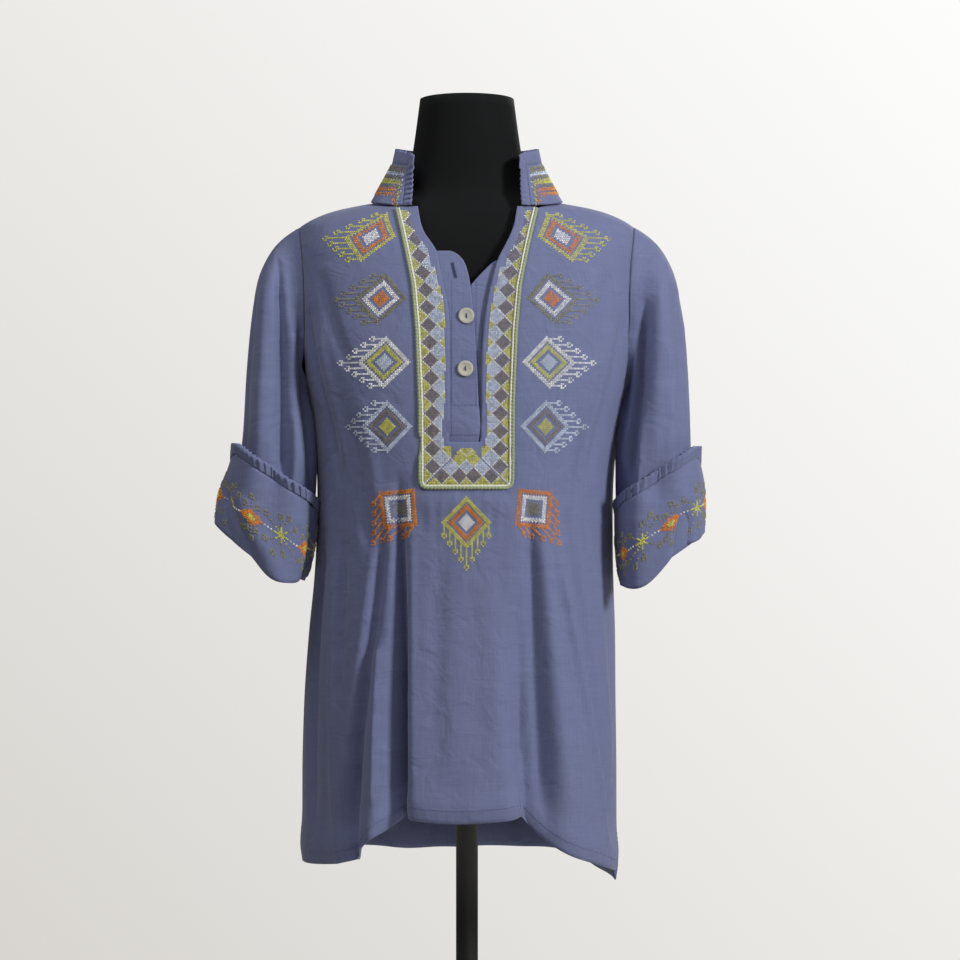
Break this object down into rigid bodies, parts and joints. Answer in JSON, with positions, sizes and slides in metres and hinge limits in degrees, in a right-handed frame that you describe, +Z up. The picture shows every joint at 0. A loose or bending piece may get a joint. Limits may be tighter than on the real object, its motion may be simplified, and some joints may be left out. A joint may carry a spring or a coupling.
{
  "type": "tunic on a dress form",
  "caption": "Linen tunic with a set-in bib, stand collar, turned-up cuffs and pleated ruffles, hanging on a limbless dress form with a round base.",
  "frame": {"origin": "centre of the underside of the round base, on the ground", "axes": "+Z up along the post; the front of the tunic faces -Y; the wearer's left is +X"},
  "size_m": [0.5426, 0.368, 1.496],
  "materials": {
    "linen": "plain-weave linen, matt",
    "embroidered_linen": "linen under dense cross-stitch, matt",
    "piping_cord": "cotton cord, matt",
    "shell_button": "polished grey shell",
    "black_jersey": "black cotton jersey",
    "black_steel": "satin black paint"
  },
  "bodies": {
    "root": {"front_panel": "linen", "back_panel": "linen", "sleeve_left": "linen", "sleeve_right": "linen", "cuff_left": "linen", "cuff_right": "linen", "cuff_ruffle_left": "linen", "cuff_ruffle_right": "linen", "collar": "embroidered_linen", "collar_ruffle": "linen", "bib": "embroidered_linen", "bib_piping": "piping_cord", "placket_overlap": "linen", "placket_underlap": "linen", "button_1": "shell_button", "button_2": "shell_button", "form_torso": "black_jersey", "stand_post": "black_steel", "stand_base": "black_steel"}
  },
  "joints": []
}
